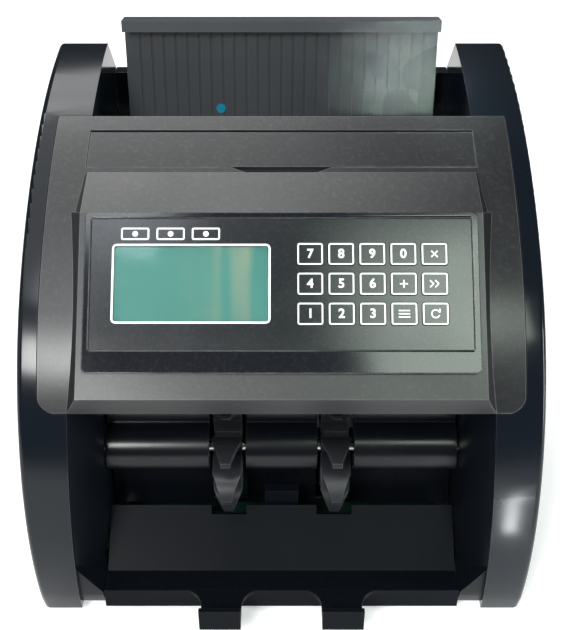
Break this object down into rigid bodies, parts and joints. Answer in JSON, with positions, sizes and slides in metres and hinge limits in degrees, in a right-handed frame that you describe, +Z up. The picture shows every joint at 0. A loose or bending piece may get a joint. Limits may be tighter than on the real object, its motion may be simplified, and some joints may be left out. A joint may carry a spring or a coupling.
{
  "type": "banknote counting machine",
  "caption": "Desktop banknote counter with a note hopper at the top rear, a sloping keypad and display panel, and an open stacker pocket with bladed wheels at the front.",
  "frame": {"origin": "middle of the bounding box footprint, on the surface that the feet stand on", "axes": "+Z up; -Y out of the front, where the stacker pocket and the panel are; +X to the right of someone facing the front"},
  "size_m": [0.265, 0.27, 0.2651],
  "materials": {
    "gloss_black": "polished black plastic",
    "satin_black": "satin black plastic",
    "panel_grey": "fine-grained dark grey plastic",
    "overlay": "satin dark overlay",
    "key": "satin dark keys",
    "window": "clear window",
    "board": "green circuit board",
    "steel": "brushed steel",
    "rubber": "black rubber",
    "belt": "flat belt",
    "zinc_sheet": "zinc-plated sheet",
    "blue_lens": "blue lens",
    "bush": "sintered bronze"
  },
  "bodies": {
    "machine": {"base_pan": "zinc_sheet", "control_board": "board", "cover_screws": "steel", "display_window": "window", "drive_belts": "belt", "hopper_floor": "satin_black", "keypad_overlay": "overlay", "left_frame_plate": "zinc_sheet", "left_pocket_wall": "satin_black", "left_side_cover": "gloss_black", "main_board": "board", "main_motor": "steel", "note_guides": "satin_black", "note_sensors": "satin_black", "panel_bezel": "panel_grey", "plate_brackets": "satin_black", "power_inlet": "satin_black", "power_supply": "zinc_sheet", "rear_cover": "gloss_black", "retard_roller": "rubber", "right_frame_plate": "zinc_sheet", "right_pocket_wall": "satin_black", "right_side_cover": "gloss_black", "rubber_feet": "rubber", "separator_bracket": "zinc_sheet", "shaft_bushes": "bush", "stacker_guide": "satin_black", "stacker_tray": "satin_black", "tie_rods": "steel", "top_cover": "panel_grey"},
    "note_support": {"support_plate": "satin_black", "hopper_lens": "blue_lens"},
    "lid": {"access_lid": "panel_grey"},
    "knob": {"gap_knob": "satin_black"},
    "rocker": {"power_rocker": "satin_black"},
    "motor_rotor": {"motor_pulley": "steel"},
    "transport": {"transport_shaft": "steel", "transport_rollers": "rubber"},
    "feed": {"feed_shaft": "steel", "feed_rollers": "rubber"},
    "pick": {"pick_shaft": "steel", "pick_rollers": "rubber"},
    "stacker": {"stacker_shaft": "steel", "stacker_wheels": "satin_black"},
    "pinch": {"pinch_rollers": "rubber"},
    "key_0": {"key_0": "key"},
    "key_1": {"key_1": "key"},
    "key_2": {"key_2": "key"},
    "key_3": {"key_3": "key"},
    "key_4": {"key_4": "key"},
    "key_5": {"key_5": "key"},
    "key_6": {"key_6": "key"},
    "key_7": {"key_7": "key"},
    "key_8": {"key_8": "key"},
    "key_9": {"key_9": "key"},
    "key_add": {"key_add": "key"},
    "key_batch": {"key_batch": "key"},
    "key_clear": {"key_clear": "key"},
    "key_reset": {"key_reset": "key"},
    "key_speed": {"key_speed": "key"}
  },
  "joints": [
    {"name": "plate_fold", "type": "hinge", "parent": "machine", "child": "note_support", "pos_m": [0, 0.0975, 0.1841], "axis": [1, 0, 0], "range_deg": [0, 45]},
    {"name": "lid_lift", "type": "hinge", "parent": "machine", "child": "lid", "pos_m": [0, 0.02378, 0.22633], "axis": [-1, 0, 0], "range_deg": [0, 80]},
    {"name": "gap_turn", "type": "hinge", "parent": "machine", "child": "knob", "pos_m": [0, 0.013, 0.18196], "axis": [0, 0, 1], "range_deg": [-180, 180]},
    {"name": "mains_rock", "type": "hinge", "parent": "machine", "child": "rocker", "pos_m": [-0.0465, 0.125, 0.03], "axis": [1, 0, 0], "range_deg": [-7, 7]},
    {"name": "feed_spin", "type": "hinge", "parent": "machine", "child": "feed", "pos_m": [0, 0.037, 0.132], "axis": [1, 0, 0], "continuous": true},
    {"name": "transport_spin", "type": "hinge", "parent": "machine", "child": "transport", "pos_m": [0, 0.003, 0.088], "axis": [1, 0, 0], "continuous": true},
    {"name": "motor_spin", "type": "hinge", "parent": "machine", "child": "motor_rotor", "pos_m": [0, 0.091, 0.06], "axis": [1, 0, 0], "continuous": true},
    {"name": "pick_spin", "type": "hinge", "parent": "machine", "child": "pick", "pos_m": [0, 0.073, 0.14995], "axis": [1, 0, 0], "continuous": true},
    {"name": "stacker_spin", "type": "hinge", "parent": "machine", "child": "stacker", "pos_m": [0, -0.049, 0.07], "axis": [1, 0, 0], "continuous": true},
    {"name": "pinch_spin", "type": "hinge", "parent": "machine", "child": "pinch", "pos_m": [0, -0.01767, 0.10097], "axis": [1, 0, 0], "continuous": true},
    {"name": "key_7_press", "type": "slide", "parent": "machine", "child": "key_7", "axis": [0, 0.7257, -0.6881], "range_m": [0, 0.0006], "stiffness_N_per_m": 500, "springref_m": -0.0006},
    {"name": "key_8_press", "type": "slide", "parent": "machine", "child": "key_8", "axis": [0, 0.7257, -0.6881], "range_m": [0, 0.0006], "stiffness_N_per_m": 500, "springref_m": -0.0006},
    {"name": "key_9_press", "type": "slide", "parent": "machine", "child": "key_9", "axis": [0, 0.7257, -0.6881], "range_m": [0, 0.0006], "stiffness_N_per_m": 500, "springref_m": -0.0006},
    {"name": "key_0_press", "type": "slide", "parent": "machine", "child": "key_0", "axis": [0, 0.7257, -0.6881], "range_m": [0, 0.0006], "stiffness_N_per_m": 500, "springref_m": -0.0006},
    {"name": "key_clear_press", "type": "slide", "parent": "machine", "child": "key_clear", "axis": [0, 0.7257, -0.6881], "range_m": [0, 0.0006], "stiffness_N_per_m": 500, "springref_m": -0.0006},
    {"name": "key_4_press", "type": "slide", "parent": "machine", "child": "key_4", "axis": [0, 0.7257, -0.6881], "range_m": [0, 0.0006], "stiffness_N_per_m": 500, "springref_m": -0.0006},
    {"name": "key_5_press", "type": "slide", "parent": "machine", "child": "key_5", "axis": [0, 0.7257, -0.6881], "range_m": [0, 0.0006], "stiffness_N_per_m": 500, "springref_m": -0.0006},
    {"name": "key_6_press", "type": "slide", "parent": "machine", "child": "key_6", "axis": [0, 0.7257, -0.6881], "range_m": [0, 0.0006], "stiffness_N_per_m": 500, "springref_m": -0.0006},
    {"name": "key_add_press", "type": "slide", "parent": "machine", "child": "key_add", "axis": [0, 0.7257, -0.6881], "range_m": [0, 0.0006], "stiffness_N_per_m": 500, "springref_m": -0.0006},
    {"name": "key_speed_press", "type": "slide", "parent": "machine", "child": "key_speed", "axis": [0, 0.7257, -0.6881], "range_m": [0, 0.0006], "stiffness_N_per_m": 500, "springref_m": -0.0006},
    {"name": "key_1_press", "type": "slide", "parent": "machine", "child": "key_1", "axis": [0, 0.7257, -0.6881], "range_m": [0, 0.0006], "stiffness_N_per_m": 500, "springref_m": -0.0006},
    {"name": "key_2_press", "type": "slide", "parent": "machine", "child": "key_2", "axis": [0, 0.7257, -0.6881], "range_m": [0, 0.0006], "stiffness_N_per_m": 500, "springref_m": -0.0006},
    {"name": "key_3_press", "type": "slide", "parent": "machine", "child": "key_3", "axis": [0, 0.7257, -0.6881], "range_m": [0, 0.0006], "stiffness_N_per_m": 500, "springref_m": -0.0006},
    {"name": "key_batch_press", "type": "slide", "parent": "machine", "child": "key_batch", "axis": [0, 0.7257, -0.6881], "range_m": [0, 0.0006], "stiffness_N_per_m": 500, "springref_m": -0.0006},
    {"name": "key_reset_press", "type": "slide", "parent": "machine", "child": "key_reset", "axis": [0, 0.7257, -0.6881], "range_m": [0, 0.0006], "stiffness_N_per_m": 500, "springref_m": -0.0006}
  ],
  "couplings": [
    {"joint": "transport_spin", "follows": "feed_spin", "ratio": 2.1667},
    {"joint": "motor_spin", "follows": "feed_spin", "ratio": 4.3333},
    {"joint": "pick_spin", "follows": "feed_spin", "ratio": 1.3},
    {"joint": "stacker_spin", "follows": "feed_spin", "ratio": 0.72222},
    {"joint": "pinch_spin", "follows": "feed_spin", "ratio": -3.6111}
  ]
}
